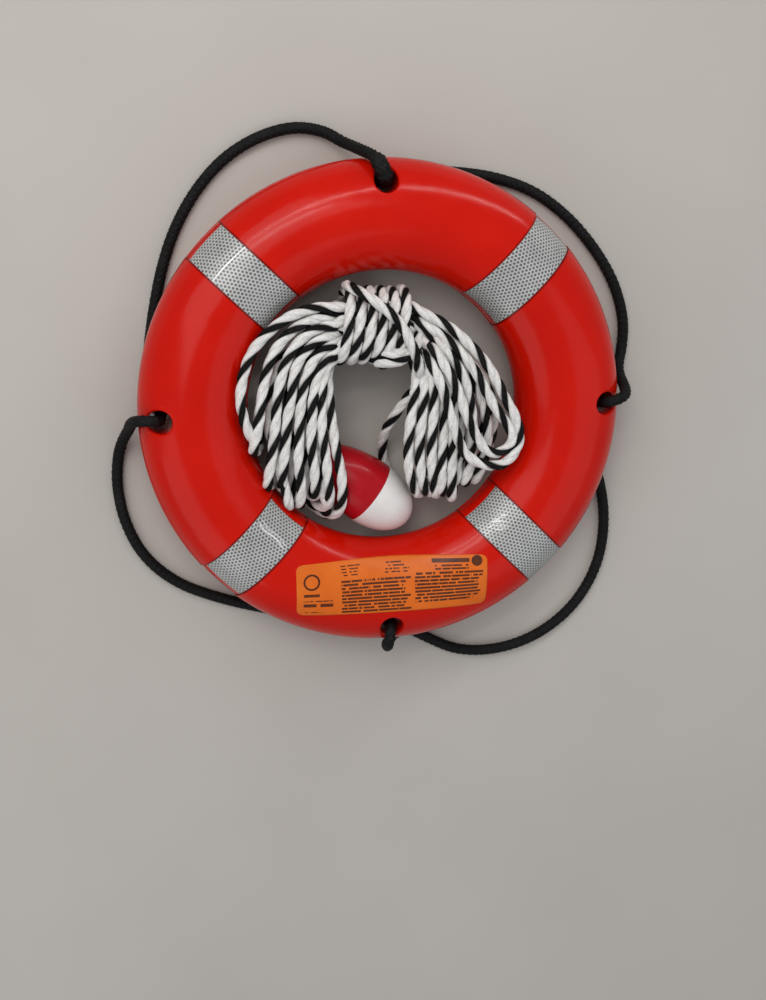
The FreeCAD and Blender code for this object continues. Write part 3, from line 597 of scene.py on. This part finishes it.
LEFT_TOP = [
    [(-53.7, 108.5, 79), (-67, 109.2, 80), (-80.4, 107.6, 81), (-93.8, 103.4, 82), (-105.7, 97.6, 82), (-117.3, 89.4, 83),
     (-127.9, 79.9, 83), (-136.5, 69.2, 84), (-143.3, 57, 84), (-147.8, 44.6, 85), (-150.5, 31.8, 85),
     (-151.2, 18.9, 85), (-149.8, 6.1, 84), (-147, -6, 83), (-143, -16, 81)],
    [(-53, 99.6, 74), (-67.3, 99.1, 78), (-87.4, 94.1, 80), (-102.8, 83.1, 81), (-113.2, 70.1, 81), (-121.2, 54.9, 81),
     (-126.2, 37.9, 81), (-129.7, 20.8, 81), (-132.2, 3.8, 82), (-135.4, -13.3, 83), (-139, -27, 83)],
    [(-52, 90, 77), (-62.6, 90.3, 79), (-77.7, 86, 80), (-91.3, 76.2, 81), (-101.8, 61.1, 81), (-108.1, 45.9, 81),
     (-112.5, 28.8, 81), (-115, 11.8, 80), (-116.4, -5.4, 80), (-118.4, -22.5, 79), (-121, -41.3, 77),
     (-124, -58, 75), (-126, -70, 73)],
    [(-52, 79.5, 72), (-61.2, 80, 77), (-73, 75.6, 80), (-84.1, 66.5, 80), (-92, 55.6, 80), (-96, 43.7, 81),
     (-98.6, 30.1, 81), (-101.3, 13, 80), (-104.1, -2.4, 80), (-106.5, -21.2, 79), (-108.7, -41.7, 77),
     (-110.2, -58.8, 74), (-110.8, -72, 69)],
    [(-58, 84, 66), (-82, 80, 66), (-103, 63, 66), (-115, 42, 66), (-121, 18, 66), (-122.5, -6, 66),
     (-120, -30, 66), (-114, -54, 67), (-108, -76, 68), (-104.5, -92, 68)],
    [(-52, 71, 76), (-58.2, 69.9, 78), (-68.3, 65.4, 80), (-76.6, 56.8, 80), (-82.3, 45, 80), (-86.7, 31.4, 81),
     (-89.7, 16, 80), (-92.1, -2.8, 80), (-93.5, -21.6, 80), (-94, -42.2, 79), (-92.9, -59.4, 77),
     (-91.4, -76.6, 74), (-92, -91, 68)],
    [(-53, 62.5, 76), (-59.5, 59.9, 78), (-65.3, 53.7, 80), (-70.3, 44.6, 80), (-74.3, 32.7, 81), (-77.7, 17.3, 81),
     (-79.6, -1.5, 81), (-80.7, -22.1, 80), (-79.5, -42.7, 79), (-77.6, -59.9, 77), (-76.5, -75, 73), (-75.8, -84, 68)],
    [(-54, 64, 62), (-66, 58, 64), (-74, 44, 66), (-77.5, 24, 67), (-77, 2, 67), (-74.5, -22, 67),
     (-71, -46, 68), (-69, -70, 68), (-66, -92, 65), (-62.5, -104, 58)],
    [(-53.7, 56.1, 71), (-59.2, 52.7, 74), (-63.8, 46, 77), (-67.4, 34.2, 79), (-69.4, 18.8, 80), (-69.6, 1.6, 80),
     (-68.8, -19, 80), (-66.9, -39.7, 79), (-64.8, -58.7, 78), (-63, -75.9, 76), (-62, -89, 71)],
    [(-53, 57, 62), (-58.5, 50, 64), (-61.5, 38, 68), (-61, 20, 73), (-59.8, -2.1, 77), (-57.2, -22.8, 78),
     (-53.7, -43.6, 78), (-50.2, -60.9, 78), (-48.2, -78.1, 76.5), (-49.1, -94.3, 71), (-51.5, -105.5, 61)]]

LEFT_BIGHT = [
    [(-139.5, -23, 76), (-136.5, -27, 66), (-134, -24, 57)],
    [(-139.5, -34.5, 78), (-136.5, -38, 68), (-133, -35, 54), (-131.5, -28, 42)],
    [(-125.5, -75, 66), (-122, -76, 57), (-118.5, -70, 51)],
    [(-110.5, -77.5, 61), (-110, -78, 49), (-111, -73, 38)],
    [(-102.5, -98, 61), (-101, -97, 47), (-103, -88, 30), (-107, -76, 20)],
    [(-92.5, -98, 59), (-93.5, -97, 51), (-96, -88, 48)],
    [(-76, -88.5, 60), (-80, -90, 53), (-84, -83, 50)],
    [(-61.5, -110.5, 49), (-67, -112, 38), (-77, -106, 29), (-87, -94, 28)],
    [(-63, -97, 64), (-68, -103, 54), (-76, -103, 42), (-84, -95, 33)],
    [(-56, -112, 52), (-64, -114, 40), (-74, -109, 26), (-83, -100, 15), (-90, -88, 10)]]

LEFT_LOW = [[(-132.5, -12, 53), (-129.5, 10, 52)], [(-130, -12, 37), (-128, 10, 36)],
            [(-116.5, -50, 50), (-114, -22, 50), (-112, 8, 50)], [(-112.5, -56, 33), (-114, -26, 33), (-112, 6, 34)],
            [(-111.5, -54, 18), (-113, -26, 18), (-111, 4, 18)], [(-99, -64, 52), (-99, -34, 53), (-98, -2, 53)],
            [(-85.5, -60, 51), (-84.5, -30, 51), (-83.5, 0, 51)], [(-96, -70, 26), (-99, -38, 25), (-98, -4, 25)],
            [(-89, -74, 32), (-87, -36, 31), (-84, 0, 32)], [(-93, -64, 9), (-96, -34, 9), (-97, -2, 9)]]

RIGHT_TOP = [
    [(33, 101.3, 78), (46.8, 95.3, 81), (59.8, 87.5, 82), (72.8, 77.8, 83), (84.6, 66.6, 83), (96.9, 53.3, 83),
     (106.4, 39.2, 84), (115.3, 23.7, 84), (122, 9.3, 85), (127.6, -1.2, 86), (133, -10.9, 87)],
    [(33, 91, 77), (48.5, 82.3, 80), (62.4, 71.5, 81), (76.3, 58.2, 82), (87.7, 43.1, 82), (97.3, 27.3, 83),
     (105.3, 11.5, 83), (113.3, -2.6, 84), (121.5, -13.5, 85), (128, -24, 87)],
    [(35, 93, 66), (52, 81, 67), (69, 65, 68), (82, 46, 69), (94, 24, 70), (102.5, 0, 70), (107, -24, 70),
     (106, -46, 69), (101.5, -64, 67), (97, -76, 63)],
    [(35, 85, 76), (52, 72, 79), (67, 54, 80), (78.5, 34, 80), (85.5, 10, 80), (88.5, -14, 79), (88.5, -38, 77),
     (86.5, -60, 73), (84, -78, 67)],
    [(35, 80, 64), (50, 67, 66), (64, 48, 67), (73, 28, 67), (77.5, 5, 67), (78, -18, 67), (77, -40, 67),
     (75.5, -60, 66), (76, -78, 62)],
    [(34, 74, 76), (46, 63, 79), (57, 47, 80), (64.5, 28, 80), (68, 6, 80), (68.2, -16, 79), (67.4, -37.8, 77),
     (67, -56, 75), (67.5, -76, 71), (69.2, -92, 65)],
    [(33, 70, 64), (43, 57, 67), (51.5, 40, 70), (56.5, 20, 74), (58.5, 0, 76), (58.6, -20.3, 77), (57.4, -38, 77),
     (56.5, -60, 74), (57, -77, 71), (58, -87, 66)],
    [(31, 62, 76), (39, 50, 79), (45, 34, 80), (47.8, 15, 80), (47, -2.6, 80), (45.5, -20, 79), (44.7, -44, 77),
     (45.7, -62, 74), (48.6, -78, 70), (51, -89, 64)],
    [(30, 58, 66), (36.5, 45, 72), (38, 28, 77), (36, 8.1, 79), (33.8, -9.2, 79), (32.4, -27, 78), (31.9, -44, 76),
     (33.2, -61.2, 74), (36.6, -78, 70), (41.5, -88, 64)],
    [(27.5, 52, 66), (30.5, 42, 70), (30, 30, 74), (26.9, 15.2, 77), (23.7, -2, 78), (21.3, -19.3, 78), (20, -43, 76),
     (21.5, -60.9, 74), (25, -77, 70), (30, -87.5, 64)]]

# turns 0 and 1 swing back across the limb on top of it
RIGHT_BIGHT = [
    [(136.3, -22.2, 88), (136.3, -33.5, 89), (131.7, -44.6, 89), (124, -54.2, 90), (113.6, -58.8, 91), (101.6, -58, 91),
     (88.6, -53.2, 91), (77.5, -45, 91), (71, -32, 91), (66.4, -17, 91), (61.8, -3, 90.5), (57.6, 11, 90),
     (53.8, 25, 89), (48.3, 39, 88), (42.2, 51.2, 84), (36.2, 61, 76)],
    [(129.5, -34.2, 88), (122.5, -42.3, 89), (111.8, -46.5, 90), (101, -43.4, 90.5), (92.3, -33.2, 91), (85.1, -19.2, 91),
     (79, -4, 91), (74.2, 9, 90.5), (70, 21.5, 90), (64, 35, 89), (57.1, 47.4, 88), (49.3, 59.7, 86), (40, 70, 78)],
    [(95, -81, 56), (96, -80, 49)],
    [(84.5, -83, 59), (87, -83, 48), (92, -76, 41)],
    [(77, -83, 54), (80, -80, 51)],
    [(70.3, -99, 57), (73, -99, 46), (77, -90, 38)],
    [(59.5, -92.5, 59), (63.5, -91, 54)],
    [(53.5, -95, 55), (59, -96, 40), (68, -88, 24), (76, -78, 16)],
    [(45.5, -93, 55), (52, -94, 45), (59, -84, 37)],
    [(35, -93.5, 54), (42, -96, 38), (50, -90, 22), (56, -76, 13)]]

RIGHT_LOW = [
    [(32, 60, 50)], [(34, 66, 44)],
    [(110, -54, 52), (118, -27, 52), (117, 4, 52), (97, 40, 53), (60, 68, 54)],
    [(104, -52, 36), (112, -28, 36), (110, 5, 36), (90, 38, 37), (58, 65, 38)],
    [(86, -60, 55), (89, -28, 56), (86, 4, 56), (70, 36, 56), (50, 58, 54)],
    [(83, -62, 37), (86, -30, 37), (84, 2, 37), (69, 34, 37), (48, 58, 38)],
    [(70, -66, 54), (73, -32, 55), (71, 2, 55), (60, 32, 54), (44, 54, 50)],
    [(82, -52, 14), (85, -26, 14), (83, 4, 14), (68, 36, 14), (48, 60, 16)],
    [(64, -60, 35), (68, -28, 35), (66, 4, 35), (56, 34, 34), (42, 56, 32)],
    [(61, -50, 10), (66, -24, 10), (64, 4, 10), (56, 34, 10), (43, 58, 14)]]


def wob(p, amt=0.8):
    return tuple(v + rng.uniform(-amt, amt) for v in p)


u = np.array([0.78632, -0.61782, 0.0])
seam = np.array([-14.8, -93.4, 36.5])


def along(t):
    q = seam + u * t
    return (q[0], q[1], q[2])


# float end first: knot, through the float, into the left limb and the wraps
points = [along(31.0), along(10.0), along(-15.0), along(-40.0), along(-62.0), along(-78.0), along(-90.0),
          (-97, -22, 38), (-98.5, 2, 39), (-97, 26, 39), (-85, 52, 40), (-66, 72, 42), (-46, 82, 44), (-20, 84, 44),
          (8, 84, 44), (28, 82, 44)]
for j in range(9, -1, -1):
    zl = 13 if j % 2 == 0 else 28
    # out along the lower right leg, round the bight and back on top
    points.append((28, SLOT_Y[j], zl))
    points += [wob(p) for p in reversed(RIGHT_LOW[j])]
    points += [wob(p, 0.4) for p in reversed(RIGHT_BIGHT[j])]
    points += [wob(p, 0.4) for p in reversed(RIGHT_TOP[j])]
    # through the wraps, then the same on the left
    points += [(24, SLOT_Y[j], SLOT_Z[j]), (-9, SLOT_Y[j], SLOT_Z[j] + 0.5), (-44, SLOT_Y[j], SLOT_Z[j])]
    points += [wob(p, 0.4) for p in LEFT_TOP[j]]
    points += [wob(p, 0.4) for p in LEFT_BIGHT[j]]
    points += [wob(p) for p in LEFT_LOW[j]]
    x, y, z = LEFT_LOW[j][-1]
    points += [wob((x + 7, 34, z)), wob((x * 0.5 - 26, 62, z * 0.6 + zl * 0.4)), (-46, SLOT_Y[j], zl), (-9, SLOT_Y[j], zl)]

# six wraps round the middle of the bundle, their fronts leaning to the right
WRAP = [(-6.5, 54, 50), (-6.2, 52.5, 63), (-5.0, 58, 77), (-3.0, 68, 84.5), (-0.5, 81, 87), (1.5, 95, 87), (3.2, 108, 84),
        (4.2, 118, 75), (4.5, 122.5, 60), (4.5, 122, 40), (4.5, 114, 19), (4.6, 99, 8), (4.7, 80, 6.6), (4.8, 64, 12),
        (4.9, 55, 28)]
for k in range(6):
    xm = -41.5 + 11.4 * k
    rise = rng.uniform(-1.6, 1.6)
    for dx, y, z in WRAP:
        yy = y + (rise if y > 110 else 0.0)
        points.append(wob((xm + dx, yy, z), 0.35))
# a short turn across the foot of the wraps, then over the top again and
# slantwise across them to the inner edge of the right limb
points += [(13, 51, 46), (2, 51, 56), (-9, 54, 66), (-12, 57.5, 75), (-4, 60, 81), (8, 60.5, 84), (19, 64, 84), (27, 71, 79),
           (30, 70, 69), (24, 60, 62), (13, 51, 62), (1, 47.5, 65), (-8, 48.5, 70), (-10, 52, 77),
           (-2, 51.5, 81), (9, 52.5, 84), (20, 57.5, 86), (28, 66, 84), (34, 78, 74), (33, 96, 56), (22, 110, 36),
           (2, 112, 22), (-20, 116, 24), (-36, 124, 40), (-39, 129, 60), (-36, 128, 78), (-27, 122.5, 90), (-14, 114, 95),
           (-1, 104, 96.5), (10, 92, 96.5), (18, 78, 96), (24.5, 64, 94), (29.5, 50, 89), (33, 38, 78)]
points += [(36, 27, 58), (21, 5, 52), (9, -16, 38), (2.5, -38, 21), (4, -60, 8.5),
           (11, -81, 5.6), (24, -98, 5.6), (41, -104, 7.5), (56, -94, 16)]
throw_points = [mm(*p) for p in points]


def twisted(name, line, radius, pitch, step, mats):
    """Three laid strands as one skin: a narrow dark one and a close pair of white ones."""
    P, s = even(line, step)
    T, N, B = frames(P)
    dark_half, white_half = math.radians(59), math.radians(60.5)

    def lobe(x, depth):
        return 1.0 - depth * abs(x) ** 2.3

    # angle, radius and strand number round the rope, in two strips that meet in deep grooves
    dark = [(x * dark_half, lobe(x, 0.36), 0.5 + 0.5 * x) for x in np.linspace(-1, 1, 9)]
    white = []
    for x in np.linspace(-1, 3, 17):
        if x <= 1:
            white.append((dark_half + white_half * (x + 1), lobe(x, 0.36 if x < 0 else 0.12), 1.5 + 0.5 * x))
        else:
            white.append((dark_half + white_half * (x + 1), lobe(x - 2, 0.36 if x > 2 else 0.12), 2.5 + 0.5 * (x - 2)))
    verts, faces, uvs, mi = [], [], [], []
    base = 0
    turn = 2 * math.pi * s / pitch
    for strip, mat_i in ((dark, 1), (white, 0)):
        ang = np.array([q[0] for q in strip])
        rad = np.array([q[1] for q in strip]) * radius
        num = np.array([q[2] for q in strip])
        th = turn[:, None] + ang[None]
        rings = P[:, None] + (N[:, None] * np.cos(th)[..., None] + B[:, None] * np.sin(th)[..., None]) * rad[None, :, None]
        n, m = rings.shape[:2]
        idx = base + np.arange(n * m).reshape(n, m)
        f = np.stack([idx[:-1, :-1], idx[:-1, 1:], idx[1:, 1:], idx[1:, :-1]], -1).reshape(-1, 4).tolist()
        faces += f
        mi += [mat_i] * len(f)
        verts.append(rings.reshape(-1, 3))
        uvs.append(np.stack([np.repeat(num[None], n, 0), np.repeat((s * 100)[:, None], m, 1)], -1).reshape(-1, 2))
        base += n * m
    # closed ends
    for i in (0, -1):
        r0 = verts[0].reshape(len(P), -1, 3)[i]
        r1 = verts[1].reshape(len(P), -1, 3)[i]
        cap = np.vstack([r0, r1[1:-1], P[i][None]])
        k = len(cap) - 1
        for q in range(k):
            tri = (base + q, base + (q + 1) % k, base + k)
            faces.append(tri if i == -1 else tri[::-1])
            mi.append(0)
        verts.append(cap)
        uvs.append(np.full((len(cap), 2), 1.5))
        base += len(cap)
    ob = mesh_object(name, np.vstack(verts), faces, mats, np.vstack(uvs), mi)
    return ob, P


throw_run = spline_line("throw_line_route", throw_points, 6)
throw_ob, throw_path = twisted("throw_line_rope", throw_run, 0.00555, 0.047, 0.0026, [white_strand, black_strand])
throw_len = float(np.linalg.norm(np.diff(throw_path, axis=0), axis=1).sum())
print("throw line length", throw_len, "control points", len(throw_points))
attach(throw_ob, "throw_line")
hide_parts("hank_left_limb", "hank_right_limb", "hank_binding", "throw_line_slack_turn",
            "float_line", "stopper_knot")

# ------------------------------------------------- reflective tapes, label
RC, ZC, HW, HH = 198.0, 45.0, 56.0, 47.0


def tape(name, deg, phi0, phi1, crease):
    half = 23.3
    na, nb = 48, 132
    e = np.array([math.cos(math.radians(deg)), math.sin(math.radians(deg)), 0])
    g = np.array([-e[1], e[0], 0])
    ts = np.linspace(-half, half, na)
    ph = np.radians(np.linspace(phi0, phi1, nb))
    a0, b0 = HW - 0.5, HH - 0.5
    arc = np.r_[0, np.cumsum(np.hypot(np.diff(a0 * np.cos(ph)), np.diff(b0 * np.sin(ph))))]
    V, UV, fold_highlight = [], [], []
    for j, p in enumerate(ph):
        for i, tt in enumerate(ts):
            lift = crease(tt, arc[j], arc[-1])
            rho = RC + (a0 + lift) * math.cos(p)
            z = ZC + (b0 + lift) * math.sin(p)
            X = math.sqrt(max(rho * rho - tt * tt, 1))
            V.append((e * X + g * tt + np.array([0, 0, z])) * 0.001)
            UV.append((tt / 10, arc[j] / 10))
            fold_highlight.append(lift / 0.5)
    F = []
    for j in range(nb - 1):
        for i in range(na - 1):
            k = j * na + i
            F.append((k, k + 1, k + na + 1, k + na))
    ob = mesh_object(name, V, F, [tape_mat], UV)
    # orientation outwards
    me = ob.data
    nrm = me.polygons[(nb // 2) * (na - 1) + na // 2].normal
    if nrm.z < 0:
        me.flip_normals()
    # painted highlight strength along the film's folds
    at = me.attributes.new("fold_highlight", "FLOAT", "POINT")
    at.data.foreach_set("value", np.array(fold_highlight, dtype=np.float32))
    m = ob.modifiers.new("film", "SOLIDIFY")
    m.thickness = 0.0006
    m.offset = -1.0
    return ob


def ridge(d, w, h):
    return h * math.exp(-(d / w) ** 2)


def crease_ul(t, s, L):
    line = s - (0.335 * L - 0.04 * t)
    return ridge(line, 0.8, 0.50) + 0.05 * math.sin(s * 0.5 + t * 0.2)


def crease_ur(t, s, L):
    return 0.05 * math.sin(s * 0.42 + t * 0.31)


def crease_ll(t, s, L):
    # two wavy folds side by side, run across the tape near its inner end
    base_ = 0.715 * L
    a = s - (base_ + 1.6 * math.sin(t * 0.17 + 0.5) - 0.10 * t)
    b = s - (base_ + 4.0 + 1.5 * math.sin(t * 0.19 + 0.2) - 0.10 * t)
    fade = min(1.0, max(0.0, (20.5 - abs(t)) / 3.0))
    return fade * (ridge(a, 0.7, 0.48) + ridge(b, 0.6, 0.36)) + 0.05 * math.sin(s * 0.4)


def crease_lr(t, s, L):
    out = 0.04 * math.sin(s * 0.5 + t * 0.2)
    for k in range(8):
        cs = L * 0.775 + 3.6 * math.sin(k * 2.4)
        cu = -3.0 + 7.0 * math.sin(k * 1.3 + 0.6)
        x, y = s - cs, t - cu
        d = x * 0.72 + y * 0.60 + 2.0 * math.sin(y * 0.22 + k) - (k - 3.5) * 2.4
        along_ = y * 0.75 - x * 0.6
        out += ridge(d, 0.6, 0.40) * math.exp(-(along_ / 8.5) ** 2)
    return min(out, 0.55)


for name, deg, phi0, phi1, fn in (("reflective_band_upper_right", 45.2, 21.0, 164.0, crease_ur),
                                  ("reflective_band_upper_left", 135.6, 20.5, 149.0, crease_ul),
                                  ("reflective_band_lower_left", 224.2, 29.5, 150.0, crease_ll),
                                  ("reflective_band_lower_right", 314.2, 15.0, 158.0, crease_lr)):
    ob = tape(name + "_film", deg, phi0, phi1, fn)
    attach(ob, "ring")
    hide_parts(name)


def surface_z(x, y, lift):
    r = math.hypot(x, y)
    k = max(0.0, 1 - ((r - RC) / (HW + lift)) ** 2)
    return ZC + (HH + lift) * math.sqrt(k)


def label():
    W, H, cy, rad = 203.0, 57.0, -182.5, 7.0
    nx, ny = 150, 46
    V, UV, F = [], [], []
    ys = np.linspace(-H / 2, H / 2, ny)
    for j, y in enumerate(ys):
        over = max(0.0, abs(y) - (H / 2 - rad))
        half = W / 2 - rad + math.sqrt(max(0.0, rad * rad - over * over))
        for i in range(nx):
            x = -half + 2 * half * i / (nx - 1)
            V.append(mm(x, cy + y, surface_z(x, cy + y, 0.36 + 0.05 * math.sin(x * 0.13 + y * 0.3))))
            UV.append((x / 10, y / 10))
    for j in range(ny - 1):
        for i in range(nx - 1):
            k = j * nx + i
            F.append((k, k + 1, k + nx + 1, k + nx))
    ob = mesh_object("approval_label_film", V, F, [label_mat], UV)
    m = ob.modifiers.new("film", "SOLIDIFY")
    m.thickness = 0.0003
    m.offset = -1.0
    return ob


label_ob = label()
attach(label_ob, "ring")
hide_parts("approval_label")

# ----------------------------------------------------------------- stage
floor_me = bpy.data.meshes.new("floor")
floor_me.from_pydata([(-6, -6, 0), (6, -6, 0), (6, 6, 0), (-6, 6, 0)], [], [(0, 1, 2, 3)])
ft = Tree("floor_looks")
fcol = ft.ramp(ft.noise(ft.object_coords(), 3.0, 3.0), [(0.3, (0.44, 0.41, 0.375)), (0.7, (0.47, 0.44, 0.405))])
ft.set("Base Color", fcol)
ft.bsdf.inputs["Roughness"].default_value = 0.75
floor_me.materials.append(ft.mat)
floor = bpy.data.objects.new("floor", floor_me)
coll.objects.link(floor)

world = bpy.data.worlds.new("world")
scene.world = world
world.use_nodes = True
bg = world.node_tree.nodes["Background"]
bg.inputs[0].default_value = (0.92, 0.95, 1.0, 1.0)
bg.inputs[1].default_value = 0.37


def area(name, pos, target, size, power, color=(1, 1, 1), size_y=None):
    li = bpy.data.lights.new(name, "AREA")
    li.energy = power
    li.color = color
    li.size = size
    if size_y:
        li.shape = "RECTANGLE"
        li.size_y = size_y
    ob = bpy.data.objects.new(name, li)
    coll.objects.link(ob)
    ob.location = pos
    d = Vector(target) - Vector(pos)
    ob.rotation_euler = d.to_track_quat("-Z", "Y").to_euler()
    return ob


area("key", (-0.95, 1.1, 2.1), (0, 0, 0), 2.2, 27.0, (1.0, 0.985, 0.955))
area("fill", (1.5, -0.7, 1.8), (0, 0, 0), 2.0, 8.0, (0.96, 0.98, 1.0))
area("low", (-1.5, -1.2, 1.3), (0, 0, 0), 1.6, 8.0, (1.0, 0.98, 0.97))


def strip(name, a, b, width, power):
    """A long thin tube light from a to b, facing the ring."""
    a, b = Vector(a), Vector(b)
    ob = area(name, (a + b) / 2, (0, 0, 0.05), (b - a).length, power, (1.0, 0.985, 0.96), width)
    x = (b - a).normalized()
    z = ((a + b) / 2 - Vector((0, 0.1, 0.05))).normalized()
    z = (z - x * z.dot(x)).normalized()
    y = z.cross(x)
    ob.rotation_euler = Matrix((x, y, z)).transposed().to_euler()
    return ob


strip("tube_a", (-1.3, 1.45, 2.2), (1.7, 1.5, 0.45), 0.045, 15.0)
strip("tube_b", (-1.2, 1.15, 2.45), (-0.1, 1.2, 2.0), 0.045, 6.0)

view = scene.view_settings
view.view_transform = "Standard"
view.look = "None"
